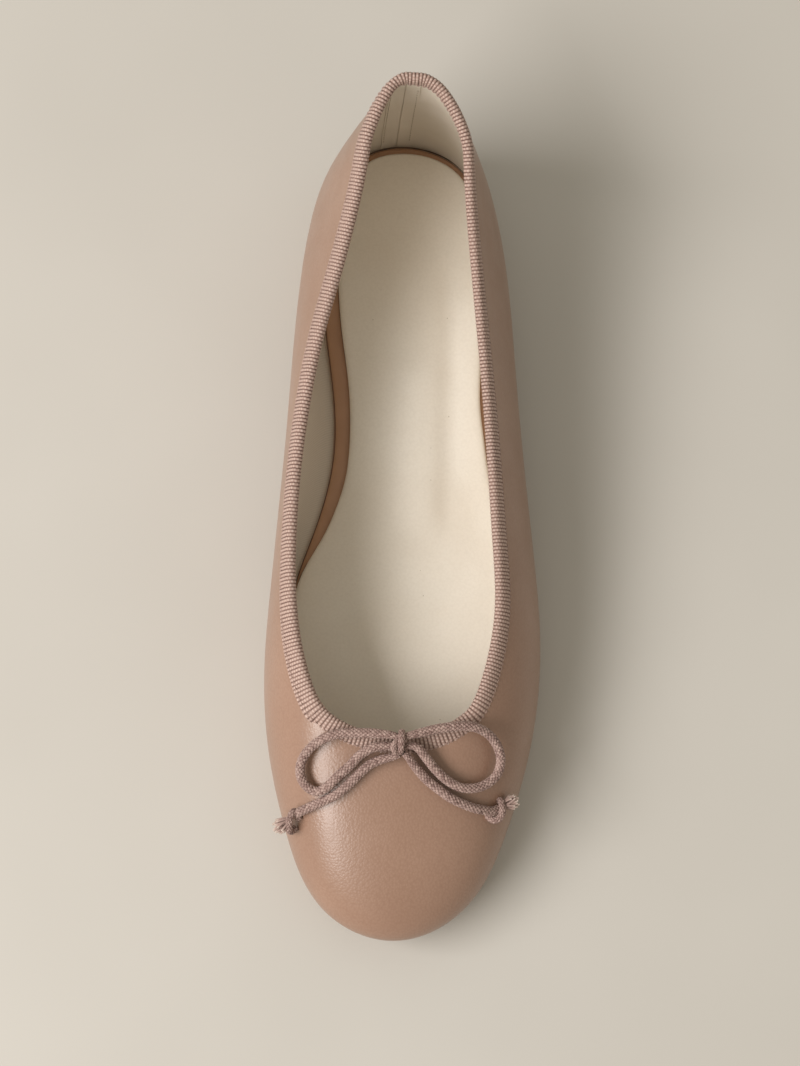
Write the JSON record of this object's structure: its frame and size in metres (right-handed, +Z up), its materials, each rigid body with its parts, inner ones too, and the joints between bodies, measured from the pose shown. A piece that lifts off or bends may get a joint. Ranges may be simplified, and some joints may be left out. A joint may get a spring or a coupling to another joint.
{
  "type": "ballet flat shoe",
  "caption": "Round-toed ballet flat for the left foot: hollow lasted leather upper with a bound topline and a tied cord bow, on a thin sole with a low heel block.",
  "frame": {"origin": "middle of the shoe's length and width, on the floor under the sole", "axes": "toe towards -Y and heel towards +Y, wearer's outer side +X, +Z up"},
  "size_m": [0.079, 0.2382, 0.0714],
  "materials": {
    "upper_leather": "soft sheen nude leather with fine grain",
    "binding_tape": "matt ribbed grosgrain tape",
    "sole_rubber": "matt tan",
    "heel_rubber": "matt dark tan",
    "board_cover": "smooth nude leather",
    "sock_leather": "smooth ivory leather, lightly padded",
    "bow_cord": "matt braided cord"
  },
  "bodies": {
    "root": {"upper": "upper_leather", "topline_binding": "binding_tape", "outsole": "sole_rubber", "heel": "heel_rubber", "insole_board": "board_cover", "insole_sock": "sock_leather", "bow_knot": "bow_cord", "bow_loop_medial": "bow_cord", "bow_loop_lateral": "bow_cord", "bow_tail_medial": "bow_cord", "bow_tail_lateral": "bow_cord", "bow_end_medial": "bow_cord", "bow_end_lateral": "bow_cord"}
  },
  "joints": []
}
